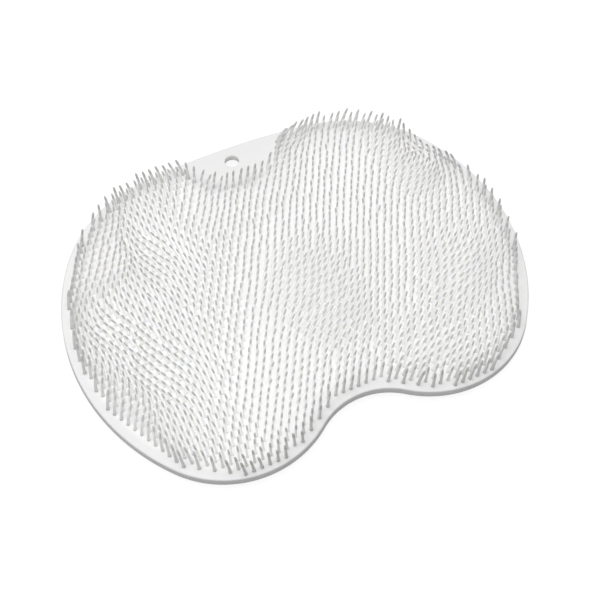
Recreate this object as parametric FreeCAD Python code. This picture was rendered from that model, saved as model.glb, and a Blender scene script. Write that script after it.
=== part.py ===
"""Shower foot scrubber: one mat moulded in soft silicone, in millimetres, +Z up.

The plate has a kidney outline with a bare tab and a hang hole at the back. Its top carries a
field of soft bristles in staggered rows, and its underside carries hollow suction cups.
X runs along the mat, +Y points to the back edge, and z = 0 is the plane of the cups' rims.
"""
import FreeCAD
import Part
import math
import os

# Outline: arcs that run into one another from the middle of the back edge to the notch.
# Each arc ends where the outward normal has turned by its angle from +Y toward +X.
back_radius = 485.0
back_end = 7.5
shoulder_radius = 93.0
shoulder_end = 59.0
side_radius = 140.0
side_end = 130.0
toe_radius = 66.5
toe_end = 217.0

# Plate: a wall that leans in to the top, with its top edge broken.
plate_thickness = 5.0
wall_draft = 0.5
edge_drop = 0.8
edge_break = 0.6

# Hang hole in the bare tab at the back edge.
hole_radius = 5.0
hole_from_back = 13.0
tab_reach = 35.5
tab_centre_outside_back = 2.5

# Bristles: staggered rows of pointed, three-sided pins that rise out of the plate.
bristle_length = 13.5
bristle_radius = 0.95
bristle_pitch = 6.4
row_pitch = 5.9
bare_rim = 5.0
bristle_sides = 3

# Suction cups: flared, hollow from below, with a flat rim to rest on.
cup_height = 5.0
cup_rim_radius = 8.5
cup_lip = 0.8
cup_neck_radius = 5.0
cup_hollow = 3.4
cup_pitch = 50.0
cup_row_pitch = 44.0
cup_edge_gap = 13.0
cup_overlap = 0.5
cup_sides = 16

# How the soft bristles have been combed: place, reach and sideways shift of the tip.
combing = [
    ((0.0, 0.0), 300.0, (1.0, 1.5)),
    ((-145.0, 15.0), 34.0, (2.5, 6.5)),
    ((-125.0, 50.0), 22.0, (3.5, -1.5)),
    ((-125.0, -75.0), 34.0, (4.5, 5.5)),
    ((-95.0, -118.0), 24.0, (-4.0, 6.5)),
    ((-75.0, 25.0), 30.0, (-4.5, 1.0)),
    ((-118.0, 92.0), 22.0, (-4.0, 1.0)),
    ((-60.0, 105.0), 26.0, (-2.0, 2.5)),
    ((-15.0, 50.0), 22.0, (4.0, 1.0)),
    ((5.0, -10.0), 36.0, (5.5, 3.5)),
    ((36.0, 108.0), 18.0, (6.5, -1.5)),
    ((82.0, 110.0), 28.0, (5.0, 2.5)),
    ((75.0, 30.0), 36.0, (0.5, -2.0)),
    ((122.0, 78.0), 18.0, (-7.0, 1.5)),
    ((140.0, -45.0), 28.0, (1.0, 3.5)),
    ((112.0, -100.0), 22.0, (3.0, 5.5)),
    ((62.0, -118.0), 22.0, (1.5, 1.5)),
]

plate_bottom = cup_height
plate_top = plate_bottom + plate_thickness


def normal(angle):
    """Outward normal at an angle from +Y toward +X, in degrees."""
    turn = math.radians(angle)
    return FreeCAD.Vector(math.sin(turn), math.cos(turn), 0)


def arc_chain():
    """Arcs of the right half as (centre, radius, first angle, last angle), convex ones first.

    The first arc starts at the origin. The notch has the radius that ends it on the axis.
    """
    chain = []
    point = FreeCAD.Vector(0, 0, 0)
    start = 0.0
    arcs = (
        (back_radius, back_end),
        (shoulder_radius, shoulder_end),
        (side_radius, side_end),
        (toe_radius, toe_end),
    )
    for radius, end in arcs:
        centre = point - normal(start) * radius
        chain.append((centre, radius, start, end))
        point = centre + normal(end) * radius
        start = end
    notch_radius = -point.x / math.sin(math.radians(toe_end))
    notch_centre = point + normal(toe_end) * notch_radius
    chain.append((notch_centre, -notch_radius, toe_end, 180.0))
    return chain


def middle_height(chain):
    """Y halfway between the back edge and the front of the toes."""
    toe_centre = chain[3][0]
    return (toe_centre.y - toe_radius) / 2


def centred_chain():
    """The chain of arcs, moved so that the plan's middle is at the origin."""
    chain = arc_chain()
    shift = FreeCAD.Vector(0, -middle_height(chain), 0)
    return [(centre + shift, radius, first, last) for centre, radius, first, last in chain]


chain = centred_chain()
back_edge = chain[0][0].y + back_radius
half_length = chain[2][0].x + side_radius


def outline_wire(inset, height):
    """The closed outline at a height, moved in from the plate's foot by an inset."""
    right = []
    for centre, radius, first, last in chain:
        reach = radius - inset
        points = [centre + normal(first + (last - first) * part) * reach for part in (0, 0.5, 1)]
        right.append([FreeCAD.Vector(p.x, p.y, height) for p in points])
    left = [[FreeCAD.Vector(-p.x, p.y, p.z) for p in reversed(arc)] for arc in reversed(right)]
    return Part.Wire([Part.Arc(*arc).toShape() for arc in right + left])


def plate():
    """The plate: foot, top of the leaning wall, and top face inside the broken edge."""
    sections = [
        outline_wire(0.0, plate_bottom),
        outline_wire(wall_draft, plate_top - edge_drop),
        outline_wire(wall_draft + edge_break, plate_top),
    ]
    body = Part.makeLoft(sections, True, True)
    foot = FreeCAD.Vector(0, back_edge - hole_from_back, plate_bottom - 1)
    return body.cut(Part.makeCylinder(hole_radius, plate_thickness + 2, foot))


def edge_distance(x, y):
    """How far a place in the plan lies inside the outline."""
    place = FreeCAD.Vector(abs(x), y, 0)
    gaps = []
    for centre, radius, first, last in chain:
        offset = place - centre
        angle = math.degrees(math.atan2(offset.x, offset.y)) % 360
        if radius < 0:
            gaps.append(offset.Length + radius)
        elif first <= angle <= last:
            gaps.append(radius - offset.Length)
    return min(gaps)


def staggered_places(pitch, rows_apart, margin):
    """Places in rows along X, each row half a pitch on from the last, inside the outline."""
    columns = math.ceil(half_length / pitch) + 1
    rows = math.ceil(back_edge / rows_apart)
    places = []
    for row in range(-rows, rows + 1):
        for column in range(-columns, columns + 1):
            x = (column + 0.5 * (row % 2)) * pitch
            y = row * rows_apart
            if edge_distance(x, y) >= margin:
                places.append(FreeCAD.Vector(x, y, 0))
    return places


def ring(radius, height):
    """A closed polygon with one corner for each side of a cup, round the Z axis."""
    corners = [normal((side + 0.5) * 360 / cup_sides) * radius for side in range(cup_sides)]
    points = [FreeCAD.Vector(corner.x, corner.y, height) for corner in corners]
    return Part.makePolygon(points + points[:1])


def suction_cup():
    """A cup that flares from its neck down to a flat rim, hollow from below."""
    rim = ring(cup_rim_radius, 0)
    neck = ring(cup_neck_radius, cup_height + cup_overlap)
    cup = Part.makeLoft([rim, neck], True, True)
    mouth = ring(cup_rim_radius - cup_lip, 0)
    peak = Part.Vertex(0, 0, cup_hollow)
    return cup.cut(Part.makeLoft([mouth, peak], True, True))


def cup_places():
    """Places of the cups, clear of the outline and of the hang hole."""
    hole_centre = FreeCAD.Vector(0, back_edge - hole_from_back, 0)
    clear = cup_rim_radius + cup_edge_gap
    places = staggered_places(cup_pitch, cup_row_pitch, clear)
    return [place for place in places if place.distanceToPoint(hole_centre) > clear]


def bristle_places():
    """Places of the bristles, clear of the bare rim and of the tab."""
    tab_centre = FreeCAD.Vector(0, back_edge + tab_centre_outside_back, 0)
    places = staggered_places(bristle_pitch, row_pitch, bare_rim)
    return [place for place in places if place.distanceToPoint(tab_centre) > tab_reach]


def lean(place):
    """Sideways shift of a bristle's tip, as the sum of the combing strokes near it."""
    shift = FreeCAD.Vector(0, 0, 0)
    for (x, y), reach, (across, back) in combing:
        distance = place.distanceToPoint(FreeCAD.Vector(x, y, 0))
        weight = math.exp(-((distance / reach) ** 2))
        shift += FreeCAD.Vector(across, back, 0) * weight
    return shift


def bristle(place):
    """The foot of a bristle as a wire in the plate's top, and its walls up to the point."""
    shift = lean(place)
    rise = math.sqrt(bristle_length**2 - shift.Length**2)
    tip = place + shift + FreeCAD.Vector(0, 0, plate_top + rise)
    foot = []
    for side in range(bristle_sides):
        corner = place + normal(180 - side * 360 / bristle_sides) * bristle_radius
        foot.append(FreeCAD.Vector(corner.x, corner.y, plate_top))
    wire = Part.makePolygon(foot + foot[:1])
    walls = []
    for side in range(bristle_sides):
        start = foot[side]
        end = foot[(side + 1) % bristle_sides]
        walls.append(Part.Face(Part.makePolygon([start, end, tip, start])))
    return wire, walls


def is_top(face):
    """Whether a face is the plate's flat top."""
    return abs(face.CenterOfMass.z - plate_top) < 0.001


def grow_bristles(body):
    """Opens the plate's top at every bristle's foot and sews the bristles' walls to it."""
    top = [face for face in body.Faces if is_top(face)][0]
    others = [face for face in body.Faces if not is_top(face)]
    feet = []
    walls = []
    for place in bristle_places():
        wire, sides = bristle(place)
        feet.append(wire)
        walls.extend(sides)
    inner = [wire for wire in top.Wires if not wire.isSame(top.OuterWire)]
    open_top = Part.Face([top.OuterWire] + inner + feet)
    skin = Part.makeCompound(others + [open_top] + walls)
    skin.sewShape()
    return Part.Solid(skin.Shells[0])


def scrubber_mat():
    """The whole mat as one solid."""
    cup = suction_cup()
    cups = [cup.translated(place) for place in cup_places()]
    body = plate().fuse(cups).removeSplitter()
    solid = grow_bristles(body)
    if solid.Volume < 0:
        solid.reverse()
    return solid


os.makedirs("parts", exist_ok=True)
mat = scrubber_mat()
mat.exportStep("parts/scrubber_mat.step")
print("solids", len(mat.Solids), "bristles", len(bristle_places()), "cups", len(cup_places()))
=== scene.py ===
"""Looks of the shower foot scrubber: a soft white silicone mat with a dense field of bristles.

All sizes are in metres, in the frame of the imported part: X along the mat, +Y to the back edge
with the hang hole, z = 0 on the plane of the suction cups' rims.
"""
import math
import bpy
import numpy as np
from mathutils import Matrix, Vector


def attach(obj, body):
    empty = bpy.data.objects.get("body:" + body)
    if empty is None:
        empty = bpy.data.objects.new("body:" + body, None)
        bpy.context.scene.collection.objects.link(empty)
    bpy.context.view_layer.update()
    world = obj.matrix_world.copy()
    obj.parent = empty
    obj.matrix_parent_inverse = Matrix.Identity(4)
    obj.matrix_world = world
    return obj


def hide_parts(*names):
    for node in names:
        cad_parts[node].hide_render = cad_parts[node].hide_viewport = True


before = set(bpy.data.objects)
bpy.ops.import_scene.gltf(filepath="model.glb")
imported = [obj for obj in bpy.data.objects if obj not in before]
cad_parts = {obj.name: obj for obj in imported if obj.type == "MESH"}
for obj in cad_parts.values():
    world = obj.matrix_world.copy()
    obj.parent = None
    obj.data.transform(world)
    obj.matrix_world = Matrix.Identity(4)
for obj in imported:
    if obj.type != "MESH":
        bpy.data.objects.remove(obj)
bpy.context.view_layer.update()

# Outline: tangent arcs from the middle of the back edge to the notch, as on the solid.
# Each row is a radius and the turn of the outward normal from +Y at which its arc ends.
BACK = (0.485, 7.5)
SHOULDER = (0.093, 59.0)
SIDE = (0.140, 130.0)
TOE = (0.0665, 217.0)
OUTLINE_SPACING = 0.0012
ARC_LEAST_STEPS = 4

# Plate. It stands on the cups. Its shelf is the strip of the top that follows the outline, out
# to where the rows across to the hang hole start, and the tab is the bare part at the back.
CUP_HEIGHT = 0.005
PLATE_THICKNESS = 0.005
PLATE_TOP = CUP_HEIGHT + PLATE_THICKNESS
WALL_DRAFT = 0.0005
EDGE_ROUND = 0.0008
FOOT_ROUND = 0.0003
EDGE_SHELF = 0.0025
HOLE_RADIUS = 0.005
HOLE_ROUND = 0.0004
HOLE_FROM_BACK = 0.013
TAB_REACH = 0.0355
TAB_CENTRE_OUTSIDE_BACK = 0.0025

# Rows of the plate's section: steps of each rounding, heights on the wall, and parts of the way
# from the outline to the hang hole, which are close together near the outline on the top.
EDGE_STEPS = 7
FOOT_STEPS = 4
HOLE_STEPS = 5
WALL_ROWS = (0.3, 0.7)
NEAR_ROWS = (0.01, 0.02, 0.03, 0.045, 0.06, 0.08, 0.11, 0.15, 0.2)
ACROSS_ROWS = (0.3, 0.45, 0.6, 0.75, 0.9, 0.97)

# Bristles: radius at some places from foot to tip, and the grid that they stand on.
BRISTLE_LENGTH = 0.0135
BRISTLE_STATIONS = np.array([-0.02, 0.07, 0.34, 0.66, 0.90, 0.975, 1.0]) * BRISTLE_LENGTH
BRISTLE_RADII = np.array([1.05, 0.79, 0.74, 0.68, 0.61, 0.48, 0.22]) * 0.001
BRISTLE_SIDES = 6
BRISTLE_PITCH = 0.00507
ROW_PITCH = 0.00477
FIRST_ROW = 0.00215

# Bare rim: its width, how much wider it is at the mat's ends, and narrower at the toes.
BARE_RIM = 0.0049
END_RIM_EXTRA = 0.0009
END_RIM_POWER = 8
TOE_RIM_LESS = 0.0022
TOE_FRONT = (0.068, -0.113)
TOE_FRONT_REACH = 0.025

# Bristles beside the bare rim and tab are thicker, by this share, and blend into the field.
RIM_THICKER = 0.24
FIELD_BLEND = 0.009

# How the soft bristles have been combed: place, reach and sideways shift of the tip.
COMBING = (
    ((0.000, 0.000), 0.300, (0.0015, 0.0030)),
    ((-0.156, 0.019), 0.024, (0.0050, 0.0055)),
    ((-0.122, 0.042), 0.020, (0.0050, 0.0025)),
    ((-0.144, -0.034), 0.021, (0.0035, 0.0045)),
    ((-0.130, -0.058), 0.017, (0.0055, 0.0035)),
    ((-0.105, -0.090), 0.024, (-0.0020, 0.0030)),
    ((-0.076, -0.120), 0.013, (-0.0040, -0.0015)),
    ((-0.097, -0.038), 0.034, (-0.0055, 0.0000)),
    ((-0.075, 0.044), 0.036, (-0.0060, -0.0015)),
    ((-0.104, 0.081), 0.017, (0.0055, 0.0015)),
    ((-0.104, 0.058), 0.014, (0.0035, 0.0005)),
    ((-0.072, 0.112), 0.022, (-0.0025, 0.0020)),
    ((-0.026, 0.097), 0.019, (0.0045, -0.0010)),
    ((-0.040, 0.059), 0.019, (0.0050, 0.0005)),
    ((0.000, -0.012), 0.031, (0.0070, 0.0020)),
    ((0.004, -0.048), 0.025, (0.0045, 0.0000)),
    ((0.038, 0.104), 0.016, (0.0075, -0.0015)),
    ((0.075, 0.124), 0.018, (0.0070, 0.0025)),
    ((0.058, 0.050), 0.034, (-0.0015, -0.0020)),
    ((0.120, 0.055), 0.016, (-0.0070, -0.0010)),
    ((0.106, 0.036), 0.018, (0.0075, -0.0005)),
    ((0.094, -0.049), 0.026, (0.0060, -0.0020)),
    ((0.138, 0.033), 0.017, (-0.0055, 0.0015)),
    ((0.047, -0.095), 0.026, (0.0050, -0.0015)),
    ((-0.046, -0.068), 0.034, (0.0010, -0.0020)),
    ((0.116, -0.069), 0.022, (-0.0015, 0.0040)),
    ((-0.123, 0.006), 0.021, (-0.0045, -0.0005)),
    ((0.096, 0.102), 0.026, (0.0050, 0.0020)),
    ((0.019, 0.075), 0.018, (0.0030, -0.0005)),
    ((-0.037, 0.108), 0.016, (-0.0060, 0.0015)),
    ((-0.105, 0.100), 0.013, (-0.0040, 0.0010)),
    ((0.044, -0.107), 0.013, (-0.0040, 0.0005)),
    ((-0.100, 0.043), 0.013, (0.0035, 0.0000)),
    ((-0.044, -0.119), 0.016, (-0.0040, -0.0010)),
    ((0.099, 0.065), 0.013, (0.0045, -0.0005)),
    ((-0.126, -0.080), 0.016, (0.0015, 0.0025)),
    ((0.093, -0.119), 0.013, (0.0075, 0.0015)),
    ((0.131, 0.053), 0.018, (-0.0010, -0.0035)),
)
# Share of a bristle's bend that is a tilt at its foot, the most that it can lean as a share of
# its length, the least bend in radians a metre, and how far single tips stray.
FOOT_TILT = 0.35
MOST_LEAN = 0.8
LEAST_BEND = 0.01
TIP_STRAY = 0.0005
STRAY_SEED = 11

# Suction cups. They reach into the plate by the overlap. The hollow's section starts at the
# peak's share of a quarter turn, and the rows beside the rim's edges lie at the crisp share.
CUP_RIM_RADIUS = 0.0085
CUP_LIP = 0.0008
CUP_NECK_RADIUS = 0.005
CUP_HOLLOW = 0.0034
CUP_FLARE_POWER = 1.5
CUP_OVERLAP = 0.0003
CUP_PITCH = 0.050
CUP_ROW_PITCH = 0.044
CUP_EDGE_GAP = 0.013
CUP_SEGMENTS = 48
CUP_ROWS = 10
CUP_PEAK = 0.04
CUP_CRISP = 0.02

# Silicone: what all its shaders share, the noise of its tint and gloss, and its moulded grain.
SILICONE = {
    "IOR": 1.41,
    "Specular IOR Level": 0.4,
    "Subsurface Weight": 0.5,
    "Subsurface Radius": (1.0, 0.95, 0.85),
    "Subsurface Scale": 0.0025,
}
CLOUD_SCALE = 30.0
CLOUD_DETAIL = 3.0
GLOSS_RANGE = (0.40, 0.58)
GRAIN_SCALE = 900.0
GRAIN_DETAIL = 2.0
GRAIN_STRENGTH = 0.35
PLATE_GRAIN = 0.00004
BRISTLE_GRAIN = 0.00003

# Tints: where the silicone is light and where it is deep; painted light and painted shade of single
# regions; and the spread of tone from bristle to bristle.
PLATE_TINTS = ((0.875, 0.875, 0.875), (0.85, 0.85, 0.85))
CUP_TINTS = ((0.88, 0.88, 0.88), (0.84, 0.84, 0.84))
BRISTLE_TINTS = ((0.91, 0.91, 0.905), (0.88, 0.88, 0.875))
# Painted light: the plate is paler between the bristles, against the shade they cast.
FIELD_PAINTED_LIGHT = (0.92, 0.92, 0.915, 1)
# Painted shade: the plate's wall and rounded edge are darker.
EDGE_PAINTED_SHADE = (0.78, 0.78, 0.78, 1)
# Painted shade: bristles beside the bare rim and tab are darker.
RIM_BRISTLE_PAINTED_SHADE = (0.77, 0.77, 0.765, 1)
# Painted shade at the foot and near the tip, and painted light on the body, along a bristle.
BRISTLE_PAINTED_SHADING_RAMP = (
    (0.0, (0.90, 0.90, 0.895, 1)),
    (0.65, (1.0, 1.0, 1.0, 1)),
    (0.78, (0.74, 0.74, 0.74, 1)),
    (1.0, (0.80, 0.80, 0.80, 1)),
)
BRISTLE_SPREAD = (0.95, 1.0)

# Where the painted shade and painted light change: depth inside the outline at the edge and in the
# field, and way past the tab.
EDGE_SHADE = (0.0008, 0.0016)
FIELD_LIGHT_SPAN = (0.0045, 0.009)
TAB_LIGHT_SPAN = 0.008

# Painted light: an emission glow of the plate and of the bristles' bodies, in place of light that
# comes through the silicone.
PLATE_GLOW = 0.25
FIELD_GLOW_SHARE = 0.17
HOLE_GLOW_TINT = (0.6, 0.6, 0.6, 1)
HOLE_GLOW_REACH = (0.0062, 0.0052)
BRISTLE_GLOW = 0.165
BRISTLE_GLOW_SPAN = (0.76, 0.60)

# Studio: a lamp overhead, a pale world, and a floor with one grey that lights the mat and
# another, with a glow, that the camera sees.
LAMP_PLACE = Vector((-0.35, 0.35, 2.8))
LAMP_SIZE = 2.8
LAMP_POWER = 68.0
WORLD_LIGHT = 0.34
WORLD_BACKDROP = 1.0
FLOOR_HALF = 4.0
FLOOR_GREY = (0.45, 0.45, 0.45, 1)
FLOOR_SEEN_GREY = (0.16, 0.16, 0.16, 1)
FLOOR_GLOW = 0.90

# Camera: where it looks, how far off it is, and its lens on a sensor 36 mm wide.
AIM_BELOW_TOP = 0.004
AIM = Vector((-0.0033, -0.0169, PLATE_TOP - AIM_BELOW_TOP))
CAMERA_DISTANCE = 0.6108
CAMERA_AZIMUTH = -24.87
CAMERA_ELEVATION = 58.29
CAMERA_ROLL = 0.257
SENSOR_WIDTH = 36.0
FOCAL_PIXELS = 955.1
IMAGE_WIDTH = 600


def unit(angle):
    """Unit vectors in the plan at angles from +Y toward +X, in radians."""
    return np.stack([np.sin(angle), np.cos(angle)], -1)


def right_half(places):
    """Places of the plan, with those of the left half mirrored to the right."""
    return np.abs(places * [1, 0]) + places * [0, 1]


def smooth_step(part):
    """Rises smoothly from 0 to 1 as the part goes from 0 to 1: 3 p^2 - 2 p^3."""
    part = np.clip(part, 0, 1)
    return part * part * (3 - 2 * part)


def arc_chain():
    """Arcs of the right half as rows of centre, signed radius, first and last angle.

    Each centre is the end of the last arc less its radius along the normal there. The notch has
    a negative radius, of the size that ends it on the axis. The plan's middle is the origin.
    """
    point = np.zeros(2)
    start = 0.0
    rows = []
    for radius, degrees in (BACK, SHOULDER, SIDE, TOE):
        end = math.radians(degrees)
        centre = point - radius * unit(start)
        rows.append((centre, radius, start, end))
        point = centre + radius * unit(end)
        start = end
    notch = -point[0] / math.sin(start)
    rows.append((point + notch * unit(start), -notch, start, math.pi))
    toe_centre, toe_radius = rows[3][:2]
    shift = np.array([0.0, -(toe_centre[1] - toe_radius) / 2])
    return [(centre + shift, radius, first, last) for centre, radius, first, last in rows]


CHAIN = arc_chain()
BACK_EDGE = CHAIN[0][0][1] + BACK[0]
HALF_LENGTH = CHAIN[2][0][0] + SIDE[0]
HOLE_CENTRE = np.array([0.0, BACK_EDGE - HOLE_FROM_BACK])
TAB_CENTRE = np.array([0.0, BACK_EDGE + TAB_CENTRE_OUTSIDE_BACK])


def outline_rows(spacing):
    """Centre, signed radius and angle of points round the closed outline, about evenly spaced.

    The left half is the right one read backwards with x and the angle negated.
    """
    centres, radii, angles = [], [], []
    for centre, radius, first, last in CHAIN:
        count = max(ARC_LEAST_STEPS, round(abs(radius * (last - first)) / spacing))
        steps = np.arange(count) / count
        angles.append(first + (last - first) * steps)
        centres.append(np.tile(centre, (count, 1)))
        radii.append(np.full(count, radius))
    centre = np.concatenate(centres)
    radius = np.concatenate(radii)
    angle = np.concatenate(angles)
    notch_centre, notch_radius = CHAIN[4][:2]
    mirror = slice(None, 0, -1)
    centre = np.concatenate([centre, [notch_centre], centre[mirror] * [-1, 1]])
    radius = np.concatenate([radius, [notch_radius], radius[mirror]])
    angle = np.concatenate([angle, [math.pi], -angle[mirror]])
    return centre, radius, angle


def edge_gap(places):
    """How far places of the plan lie inside the outline: the least gap to any arc facing them."""
    gaps = np.full(len(places), np.inf)
    place = right_half(places)
    for centre, radius, first, last in CHAIN:
        offset = place - centre
        reach = np.hypot(offset[:, 0], offset[:, 1])
        angle = np.arctan2(offset[:, 0], offset[:, 1]) % (2 * math.pi)
        faces = (angle >= first) & (angle <= last) | (radius < 0)
        gap = np.where(radius < 0, reach + radius, radius - reach)
        gaps = np.where(faces, np.minimum(gaps, gap), gaps)
    return gaps


def new_mesh(name, points, faces, **attributes):
    """A smooth-shaded object from points, faces and one number for each point per attribute."""
    mesh = bpy.data.meshes.new(name)
    mesh.from_pydata(points.reshape(-1, 3).tolist(), [], faces)
    for label, values in attributes.items():
        layer = mesh.attributes.new(label, "FLOAT", "POINT")
        layer.data.foreach_set("value", np.ascontiguousarray(values, dtype=np.float32).ravel())
    mesh.polygons.foreach_set("use_smooth", np.ones(len(mesh.polygons), dtype=bool))
    mesh.update()
    mesh.validate()
    piece = bpy.data.objects.new(name, mesh)
    bpy.context.scene.collection.objects.link(piece)
    return piece


def grid_quads(rows, columns, wrap_rows, wrap_columns):
    """Corners of the quads of a grid of points, closed in the directions that wrap."""
    row = np.arange(rows if wrap_rows else rows - 1)[:, None]
    column = np.arange(columns if wrap_columns else columns - 1)[None, :]
    next_row = (row + 1) % rows
    next_column = (column + 1) % columns
    corners = (
        row * columns + column,
        row * columns + next_column,
        next_row * columns + next_column,
        next_row * columns + column,
    )
    return np.stack(corners, -1).reshape(-1, 4)


def tube_faces(count, stations, sides):
    """Faces of many equal tubes of stations by sides points, each closed by a cap at both ends."""
    size = stations * sides
    starts = size * np.arange(count)[:, None]
    walls = starts[:, None] + grid_quads(stations, sides, False, True)
    last_caps = starts + size - sides + np.arange(sides)
    first_caps = starts + np.arange(sides)[::-1]
    return walls.reshape(-1, 4).tolist() + last_caps.tolist() + first_caps.tolist()


def quarter_round(steps, radius):
    """Insets and drops of a quarter circle, from the side wall over to the flat face."""
    turn = np.linspace(0, math.pi / 2, steps)
    return radius * (1 - np.cos(turn)), radius * (1 - np.sin(turn))


def plate_section():
    """The plate's closed section as rows (blend, inset, hole gain, height).

    A blend of 0 lies on the outline moved in by the inset, and a blend of 1 on the hang hole with
    its radius made larger by the gain. Values between lie on the straight line across. The rows
    are close together near the outline, where the tint changes.
    """
    over, drop = quarter_round(EDGE_STEPS, EDGE_ROUND)
    foot_over, foot_rise = quarter_round(FOOT_STEPS, FOOT_ROUND)
    hole_drop, hole_gain = quarter_round(HOLE_STEPS, HOLE_ROUND)
    wall = PLATE_THICKNESS - EDGE_ROUND - FOOT_ROUND
    rim = WALL_DRAFT + EDGE_ROUND
    rows = [(0, o, 0, CUP_HEIGHT + z) for o, z in zip(foot_over[::-1], foot_rise[::-1])]
    rows += [(0, WALL_DRAFT * t, 0, CUP_HEIGHT + FOOT_ROUND + wall * t) for t in WALL_ROWS]
    rows += [(0, WALL_DRAFT + o, 0, PLATE_TOP - z) for o, z in zip(over, drop)]
    rows += [(0, inset, 0, PLATE_TOP) for inset in ((rim + EDGE_SHELF) / 2, EDGE_SHELF)]
    rows += [(t, EDGE_SHELF, HOLE_ROUND, PLATE_TOP) for t in NEAR_ROWS + ACROSS_ROWS]
    rows += [(1, 0, g, PLATE_TOP - z) for g, z in zip(hole_gain, hole_drop)]
    rows += [(1, 0, g, CUP_HEIGHT + z) for g, z in zip(hole_gain[::-1], hole_drop[::-1])]
    rows += [(t, FOOT_ROUND, HOLE_ROUND, CUP_HEIGHT) for t in ACROSS_ROWS[::-1]]
    return np.array(rows, dtype=float)


def make_plate():
    """The plate: a ring of sections round the outline.

    Point (i, j) = (1 - blend) * outline point j moved in + blend * the hang hole's point in the
    direction of outline point j, at the height of section row i. The depth attribute is how far
    a point of the top lies inside the outline, and 0 elsewhere.
    """
    centre, radius, angle = outline_rows(OUTLINE_SPACING)
    blend, inset, gain, height = plate_section().T[:, :, None]
    normal = unit(angle)
    edge = centre + normal * radius[:, None]
    toward = edge - HOLE_CENTRE
    toward /= np.linalg.norm(toward, axis=1)[:, None]
    outer = edge[None] - normal[None] * inset[:, :, None]
    inner = HOLE_CENTRE + toward[None] * (HOLE_RADIUS + gain)[:, :, None]
    plan = outer * (1 - blend)[:, :, None] + inner * blend[:, :, None]
    heights = np.broadcast_to(height[:, :, None], plan.shape[:2] + (1,))
    points = np.concatenate([plan, heights], -1)
    # The outline runs clockwise, so the quads are read backwards to face outwards.
    quads = grid_quads(*points.shape[:2], True, True)[:, ::-1]
    on_top = height > PLATE_TOP - EDGE_ROUND / 2
    depth = edge_gap(plan.reshape(-1, 2)).reshape(plan.shape[:2]) * on_top
    return new_mesh("plate", points, quads.tolist(), depth=depth)


def bristle_margin(places):
    """Width of the bare rim beside places: wider at the mat's two ends, narrower at the toes.

    margin = bare rim + extra * (x / half length)^8 - less * exp(-(distance to toe / reach)^2).
    """
    place = right_half(places)
    distance = np.linalg.norm(place - TOE_FRONT, axis=1)
    ends = END_RIM_EXTRA * (place[:, 0] / HALF_LENGTH) ** END_RIM_POWER
    return BARE_RIM + ends - TOE_RIM_LESS * np.exp(-((distance / TOE_FRONT_REACH) ** 2))


def staggered_places(pitch, row_pitch, first_row):
    """Places in rows along X that cover the plan, each row half a pitch on from the last."""
    most_columns = math.ceil(HALF_LENGTH / pitch) + 1
    most_rows = math.ceil(BACK_EDGE / row_pitch) + 1
    columns = np.arange(-most_columns, most_columns + 1)
    rows = np.arange(-most_rows, most_rows + 1)
    row, column = np.meshgrid(rows, columns, indexing="ij")
    places = np.stack([(column + 0.5 * (row % 2)) * pitch, first_row + row * row_pitch], -1)
    return places.reshape(-1, 2)


def tip_shifts(places):
    """Sideways shift of the tips: the sum of the combing strokes, each fading as a bell curve."""
    shift = np.zeros_like(places)
    for centre, reach, stroke in COMBING:
        distance = np.linalg.norm(places - centre, axis=1)
        shift += np.exp(-((distance / reach) ** 2))[:, None] * stroke
    return shift


def make_bristles():
    """All bristles: round profiles carried along arcs that start at a tilt and bend on evenly.

    At length s the axis has turned from upright by tilt + bend * s, so it has run sideways by
    (cos tilt - cos turn) / bend and risen by (sin turn - sin tilt) / bend. The attributes are
    the part of the way along, a number of each bristle's own, and how far it is in the field.
    """
    feet = staggered_places(BRISTLE_PITCH, ROW_PITCH, FIRST_ROW)
    feet = feet[edge_gap(feet) >= bristle_margin(feet)]
    feet = feet[np.linalg.norm(feet - TAB_CENTRE, axis=1) > TAB_REACH]
    count = len(feet)
    draw = np.random.default_rng(STRAY_SEED)
    shift = tip_shifts(feet) + draw.normal(0, TIP_STRAY, (count, 2))
    each = draw.random(count)
    reach = np.linalg.norm(shift, axis=1)
    lean = shift / reach[:, None]
    mean_turn = np.arcsin(np.clip(reach / BRISTLE_LENGTH, 0, MOST_LEAN))
    tilt = (FOOT_TILT * mean_turn)[:, None]
    bend = np.maximum(2 * (mean_turn[:, None] - tilt) / BRISTLE_LENGTH, LEAST_BEND)
    turn = tilt + bend * BRISTLE_STATIONS
    run = ((np.cos(tilt) - np.cos(turn)) / bend)[..., None]
    rise = ((np.sin(turn) - np.sin(tilt)) / bend)[..., None]
    axis = np.concatenate([feet[:, None] + run * lean[:, None], PLATE_TOP + rise], -1)
    across = np.concatenate([np.cos(turn)[..., None] * lean[:, None], -np.sin(turn)[..., None]], -1)
    beside = np.stack([-lean[:, 1], lean[:, 0], np.zeros(count)], -1)[:, None, None]
    around = 2 * math.pi * np.arange(BRISTLE_SIDES)[:, None] / BRISTLE_SIDES
    ring = np.cos(around) * across[:, :, None] + np.sin(around) * beside
    from_edge = smooth_step((edge_gap(feet) - BARE_RIM) / FIELD_BLEND)
    from_tab = np.linalg.norm(feet - TAB_CENTRE, axis=1) - TAB_REACH
    within = (from_edge * smooth_step(from_tab / FIELD_BLEND))[:, None, None]
    radii = BRISTLE_RADII[:, None] * (1 + RIM_THICKER * (1 - within))
    points = axis[:, :, None] + ring * radii[..., None]
    faces = tube_faces(count, len(BRISTLE_STATIONS), BRISTLE_SIDES)
    along = np.broadcast_to((BRISTLE_STATIONS / BRISTLE_LENGTH)[:, None], points.shape[:3])
    own = np.broadcast_to(each[:, None, None], points.shape[:3])
    inner = np.broadcast_to(within, points.shape[:3])
    return new_mesh("bristles", points, faces, along=along, own=own, inner=inner)


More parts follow.
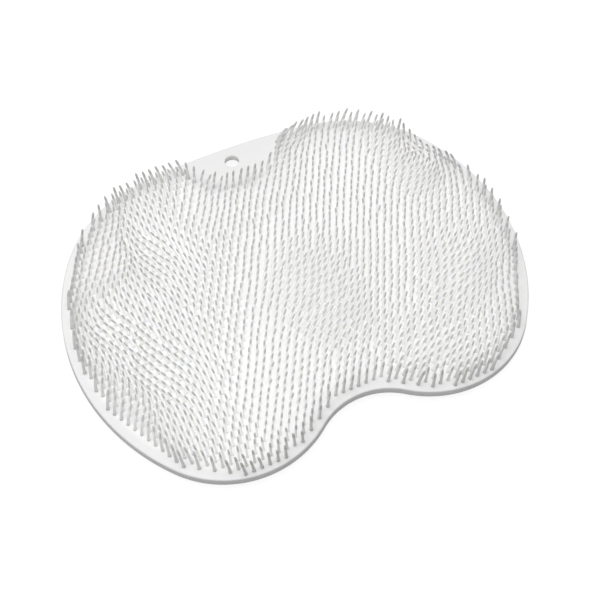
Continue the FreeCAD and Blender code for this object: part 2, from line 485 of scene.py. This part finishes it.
def cup_profile():
    """Radii and heights of a cup's section, from the top of its hollow over the rim to its neck.

    The hollow is a quarter of an ellipse. Outside, the radius falls from rim to neck with the
    power of the height left. Rows lie close together at the rim's two edges, so that they look
    crisp.
    """
    turn = np.append(np.linspace(CUP_PEAK, 1 - CUP_CRISP, CUP_ROWS), 1) * math.pi / 2
    hollow = np.stack([(CUP_RIM_RADIUS - CUP_LIP) * np.sin(turn), CUP_HOLLOW * np.cos(turn)], -1)
    part = np.append(0, np.linspace(CUP_CRISP, 1, CUP_ROWS))
    flare = CUP_NECK_RADIUS + (CUP_RIM_RADIUS - CUP_NECK_RADIUS) * (1 - part) ** CUP_FLARE_POWER
    outside = np.stack([flare, (CUP_HEIGHT + CUP_OVERLAP) * part], -1)
    return np.concatenate([hollow, outside])


def make_cups():
    """All suction cups: one section turned about each cup's upright axis."""
    clear = CUP_RIM_RADIUS + CUP_EDGE_GAP
    places = staggered_places(CUP_PITCH, CUP_ROW_PITCH, 0.0)
    places = places[edge_gap(places) >= clear]
    places = places[np.linalg.norm(places - HOLE_CENTRE, axis=1) > clear]
    radius, height = cup_profile().T[:, :, None, None]
    around = 2 * math.pi * np.arange(CUP_SEGMENTS) / CUP_SEGMENTS
    circle = np.stack([np.cos(around), np.sin(around)], -1)
    plan = places[:, None, None] + radius * circle
    points = np.concatenate([plan, np.broadcast_to(height, plan.shape[:3] + (1,))], -1)
    return new_mesh("suction_cups", points, tube_faces(len(places), len(radius), CUP_SEGMENTS))


def feed(tree, source, socket):
    """Gives a socket its source: the output of another node, or a constant."""
    if isinstance(source, bpy.types.NodeSocket):
        tree.links.new(source, socket)
    else:
        socket.default_value = source


def attribute(tree, name):
    """One of a piece's own attributes."""
    node = tree.nodes.new("ShaderNodeAttribute")
    node.attribute_name = name
    return node.outputs["Fac"]


def map_range(tree, value, span, ends=(0.0, 1.0), smooth=True):
    """A value's way through a span, as a number between two ends."""
    node = tree.nodes.new("ShaderNodeMapRange")
    node.interpolation_type = "SMOOTHSTEP" if smooth else "LINEAR"
    names = ("From Min", "From Max", "To Min", "To Max")
    for name, number in zip(names, (*span, *ends)):
        node.inputs[name].default_value = number
    feed(tree, value, node.inputs["Value"])
    return node.outputs["Result"]


def product(tree, first, second):
    """Two numbers multiplied."""
    node = tree.nodes.new("ShaderNodeMath")
    node.operation = "MULTIPLY"
    feed(tree, first, node.inputs[0])
    feed(tree, second, node.inputs[1])
    return node.outputs["Value"]


def distance_to(tree, point):
    """Distance of the shaded place from a point of the object."""
    place = tree.nodes.new("ShaderNodeTexCoord")
    node = tree.nodes.new("ShaderNodeVectorMath")
    node.operation = "DISTANCE"
    node.inputs[1].default_value = point
    feed(tree, place.outputs["Object"], node.inputs[0])
    return node.outputs["Value"]


def mix_colour(tree, factor, first, second, blend="MIX"):
    """Two colours mixed by a factor."""
    node = tree.nodes.new("ShaderNodeMix")
    node.data_type = "RGBA"
    node.blend_type = blend
    for name, source in (("Factor", factor), ("A", first), ("B", second)):
        feed(tree, source, node.inputs[name])
    return node.outputs["Result"]


def by_camera(tree, others, camera):
    """One shader for the camera's own rays and another for all other light."""
    node = tree.nodes.new("ShaderNodeMixShader")
    path = tree.nodes.new("ShaderNodeLightPath")
    feed(tree, path.outputs["Is Camera Ray"], node.inputs["Fac"])
    feed(tree, others, node.inputs[1])
    feed(tree, camera, node.inputs[2])
    return node.outputs["Shader"]


def noise(tree, scale, detail):
    """Soft noise through the object."""
    place = tree.nodes.new("ShaderNodeTexCoord")
    node = tree.nodes.new("ShaderNodeTexNoise")
    feed(tree, place.outputs["Object"], node.inputs["Vector"])
    feed(tree, scale, node.inputs["Scale"])
    feed(tree, detail, node.inputs["Detail"])
    return node.outputs["Fac"]


def silicone_skin():
    """Node group: the cloudy tint, patchy gloss and fine moulded grain of cast silicone."""
    group = bpy.data.node_groups.new("silicone_skin", "ShaderNodeTree")
    sockets = group.interface
    for name, value in (("Cloud Scale", CLOUD_SCALE), ("Grain Scale", GRAIN_SCALE)):
        socket = sockets.new_socket(name, in_out="INPUT", socket_type="NodeSocketFloat")
        socket.default_value = value
    for name in ("Light Tint", "Deep Tint"):
        sockets.new_socket(name, in_out="INPUT", socket_type="NodeSocketColor")
    sockets.new_socket("Tint", in_out="OUTPUT", socket_type="NodeSocketColor")
    sockets.new_socket("Gloss", in_out="OUTPUT", socket_type="NodeSocketFloat")
    sockets.new_socket("Grain", in_out="OUTPUT", socket_type="NodeSocketFloat")
    inputs = group.nodes.new("NodeGroupInput").outputs
    outputs = group.nodes.new("NodeGroupOutput").inputs
    cloud = noise(group, inputs["Cloud Scale"], CLOUD_DETAIL)
    grain = noise(group, inputs["Grain Scale"], GRAIN_DETAIL)
    tint = mix_colour(group, cloud, inputs["Light Tint"], inputs["Deep Tint"])
    feed(group, tint, outputs["Tint"])
    feed(group, map_range(group, cloud, (0.0, 1.0), GLOSS_RANGE, False), outputs["Gloss"])
    feed(group, grain, outputs["Grain"])
    return group


def silicone(skin_group, name, tints, grain_depth):
    """A silicone material. Returns it with its tint output and its shader, to add to."""
    material = bpy.data.materials.new(name)
    material.use_nodes = True
    tree = material.node_tree
    shader = tree.nodes["Principled BSDF"]
    for socket, value in SILICONE.items():
        shader.inputs[socket].default_value = value
    skin = tree.nodes.new("ShaderNodeGroup")
    skin.node_tree = skin_group
    skin.inputs["Light Tint"].default_value = (*tints[0], 1)
    skin.inputs["Deep Tint"].default_value = (*tints[1], 1)
    bump = tree.nodes.new("ShaderNodeBump")
    bump.inputs["Strength"].default_value = GRAIN_STRENGTH
    bump.inputs["Distance"].default_value = grain_depth
    feed(tree, skin.outputs["Grain"], bump.inputs["Height"])
    feed(tree, bump.outputs["Normal"], shader.inputs["Normal"])
    feed(tree, skin.outputs["Tint"], shader.inputs["Base Color"])
    feed(tree, skin.outputs["Gloss"], shader.inputs["Roughness"])
    return material, skin.outputs["Tint"], shader


def plate_silicone(skin_group):
    """Silicone of the plate: painted shade at its edge, and painted light, paler, where bristles
    stand and pass light down.

    The painted light's mask rises with the depth inside the edge and the distance from the bare
    tab.
    A painted glow, for light coming through the silicone, also brightens the wall of the hang hole.
    """
    material, tint, shader = silicone(skin_group, "plate_silicone", PLATE_TINTS, PLATE_GRAIN)
    tree = material.node_tree
    depth = attribute(tree, "depth")
    from_tab = distance_to(tree, (*TAB_CENTRE, PLATE_TOP))
    from_hole = distance_to(tree, (*HOLE_CENTRE, PLATE_TOP - PLATE_THICKNESS / 2))
    by_depth = map_range(tree, depth, FIELD_LIGHT_SPAN)
    by_tab = map_range(tree, from_tab, (TAB_REACH, TAB_REACH + TAB_LIGHT_SPAN))
    pale = product(tree, by_depth, by_tab)
    # Painted light: paler plate in the field.
    field = mix_colour(tree, pale, tint, FIELD_PAINTED_LIGHT)
    # Painted shade on the wall and rounded edge.
    colour = mix_colour(tree, map_range(tree, depth, EDGE_SHADE), EDGE_PAINTED_SHADE, field)
    # Painted light: an emission glow in the field and on the hang hole's wall.
    by_hole = map_range(tree, from_hole, HOLE_GLOW_REACH)
    glow = mix_colour(tree, by_hole, product(tree, pale, FIELD_GLOW_SHARE), HOLE_GLOW_TINT)
    feed(tree, colour, shader.inputs["Base Color"])
    feed(tree, glow, shader.inputs["Emission Color"])
    shader.inputs["Emission Strength"].default_value = PLATE_GLOW
    return material


def bristle_silicone(skin_group):
    """Silicone of the bristles: painted shade at foot and tip, painted light on the body between,
    and a little odd from one to the next.

    Inside the field the bristles pass light on to one another, so their bodies are painted paler
    there and given a painted glow; beside the bare rim and tab they carry a darker painted shade.
    """
    material, tint, shader = silicone(skin_group, "bristle_silicone", BRISTLE_TINTS, BRISTLE_GRAIN)
    tree = material.node_tree
    along = attribute(tree, "along")
    inner = attribute(tree, "inner")
    # Painted shade and painted light along each bristle.
    ramp = tree.nodes.new("ShaderNodeValToRGB")
    elements = ramp.color_ramp.elements
    for place, colour in BRISTLE_PAINTED_SHADING_RAMP[1:-1]:
        elements.new(place).color = colour
    elements[0].color = BRISTLE_PAINTED_SHADING_RAMP[0][1]
    elements[-1].color = BRISTLE_PAINTED_SHADING_RAMP[-1][1]
    feed(tree, along, ramp.inputs["Fac"])
    # Painted shade on the bristles beside the bare rim and tab.
    field = mix_colour(tree, inner, RIM_BRISTLE_PAINTED_SHADE, tint)
    by_length = mix_colour(tree, 1.0, field, ramp.outputs["Color"], "MULTIPLY")
    spread = map_range(tree, attribute(tree, "own"), (0.0, 1.0), BRISTLE_SPREAD, False)
    by_piece = tree.nodes.new("ShaderNodeVectorMath")
    by_piece.operation = "SCALE"
    feed(tree, by_length, by_piece.inputs[0])
    feed(tree, spread, by_piece.inputs["Scale"])
    feed(tree, by_piece.outputs["Vector"], shader.inputs["Base Color"])
    # Painted light: the bodies of bristles in the field glow.
    body = map_range(tree, along, BRISTLE_GLOW_SPAN)
    feed(tree, product(tree, body, inner), shader.inputs["Emission Color"])
    shader.inputs["Emission Strength"].default_value = BRISTLE_GLOW
    return material


def floor_material():
    """Pale floor that shows white to the camera and still takes the object's shadow."""
    material = bpy.data.materials.new("studio_floor")
    material.use_nodes = True
    tree = material.node_tree
    shader = tree.nodes["Principled BSDF"]
    shader.inputs["Base Color"].default_value = FLOOR_GREY
    shader.inputs["Roughness"].default_value = 1.0
    shader.inputs["Specular IOR Level"].default_value = 0.0
    pale = tree.nodes.new("ShaderNodeBsdfDiffuse")
    pale.inputs["Color"].default_value = FLOOR_SEEN_GREY
    glow = tree.nodes.new("ShaderNodeEmission")
    glow.inputs["Strength"].default_value = FLOOR_GLOW
    seen = tree.nodes.new("ShaderNodeAddShader")
    feed(tree, pale.outputs["BSDF"], seen.inputs[0])
    feed(tree, glow.outputs["Emission"], seen.inputs[1])
    surface = by_camera(tree, shader.outputs["BSDF"], seen.outputs["Shader"])
    feed(tree, surface, tree.nodes["Material Output"].inputs["Surface"])
    return material


def make_floor():
    """A flat floor under the cups."""
    corners = np.array([[-1, -1, 0], [1, -1, 0], [1, 1, 0], [-1, 1, 0]]) * FLOOR_HALF
    floor = new_mesh("studio_floor", corners, [[0, 1, 2, 3]])
    floor.data.materials.append(floor_material())


def make_lamp():
    """A large square soft lamp overhead that faces the mat."""
    data = bpy.data.lights.new("overhead_light", "AREA")
    data.size = LAMP_SIZE
    data.energy = LAMP_POWER
    lamp = bpy.data.objects.new("overhead_light", data)
    lamp.location = LAMP_PLACE
    lamp.rotation_euler = (-LAMP_PLACE).to_track_quat("-Z", "Y").to_euler()
    bpy.context.scene.collection.objects.link(lamp)


def make_world():
    """A world that lights the mat softly from all sides and shows white to the camera."""
    world = bpy.data.worlds.new("studio")
    world.use_nodes = True
    tree = world.node_tree
    light = tree.nodes["Background"]
    backdrop = tree.nodes.new("ShaderNodeBackground")
    for node, strength in ((light, WORLD_LIGHT), (backdrop, WORLD_BACKDROP)):
        node.inputs["Color"].default_value = (1, 1, 1, 1)
        node.inputs["Strength"].default_value = strength
    surface = by_camera(tree, light.outputs["Background"], backdrop.outputs["Background"])
    feed(tree, surface, tree.nodes["World Output"].inputs["Surface"])
    bpy.context.scene.world = world


def make_camera():
    """The camera, at its azimuth, elevation and roll round the point that it looks at."""
    azimuth, elevation = math.radians(CAMERA_AZIMUTH), math.radians(CAMERA_ELEVATION)
    back = Vector((
        math.sin(azimuth) * math.cos(elevation),
        -math.cos(azimuth) * math.cos(elevation),
        math.sin(elevation),
    ))
    right = (-back).cross(Vector((0, 0, 1))).normalized()
    upright = Matrix((right, back.cross(right), back)).transposed()
    data = bpy.data.cameras.new("camera")
    data.sensor_width = SENSOR_WIDTH
    data.lens = FOCAL_PIXELS / IMAGE_WIDTH * SENSOR_WIDTH
    camera = bpy.data.objects.new("camera", data)
    turned = upright @ Matrix.Rotation(math.radians(CAMERA_ROLL), 3, "Z")
    camera.matrix_world = Matrix.Translation(AIM + back * CAMERA_DISTANCE) @ turned.to_4x4()
    bpy.context.scene.collection.objects.link(camera)
    bpy.context.scene.camera = camera


plate = make_plate()
bristles = make_bristles()
cups = make_cups()
skin = silicone_skin()
plate.data.materials.append(plate_silicone(skin))
cups.data.materials.append(silicone(skin, "cup_silicone", CUP_TINTS, PLATE_GRAIN)[0])
bristles.data.materials.append(bristle_silicone(skin))
for piece in (plate, bristles, cups):
    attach(piece, "root")
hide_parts("scrubber_mat")

make_floor()
make_lamp()
make_world()
make_camera()
bpy.context.scene.view_settings.view_transform = "Standard"
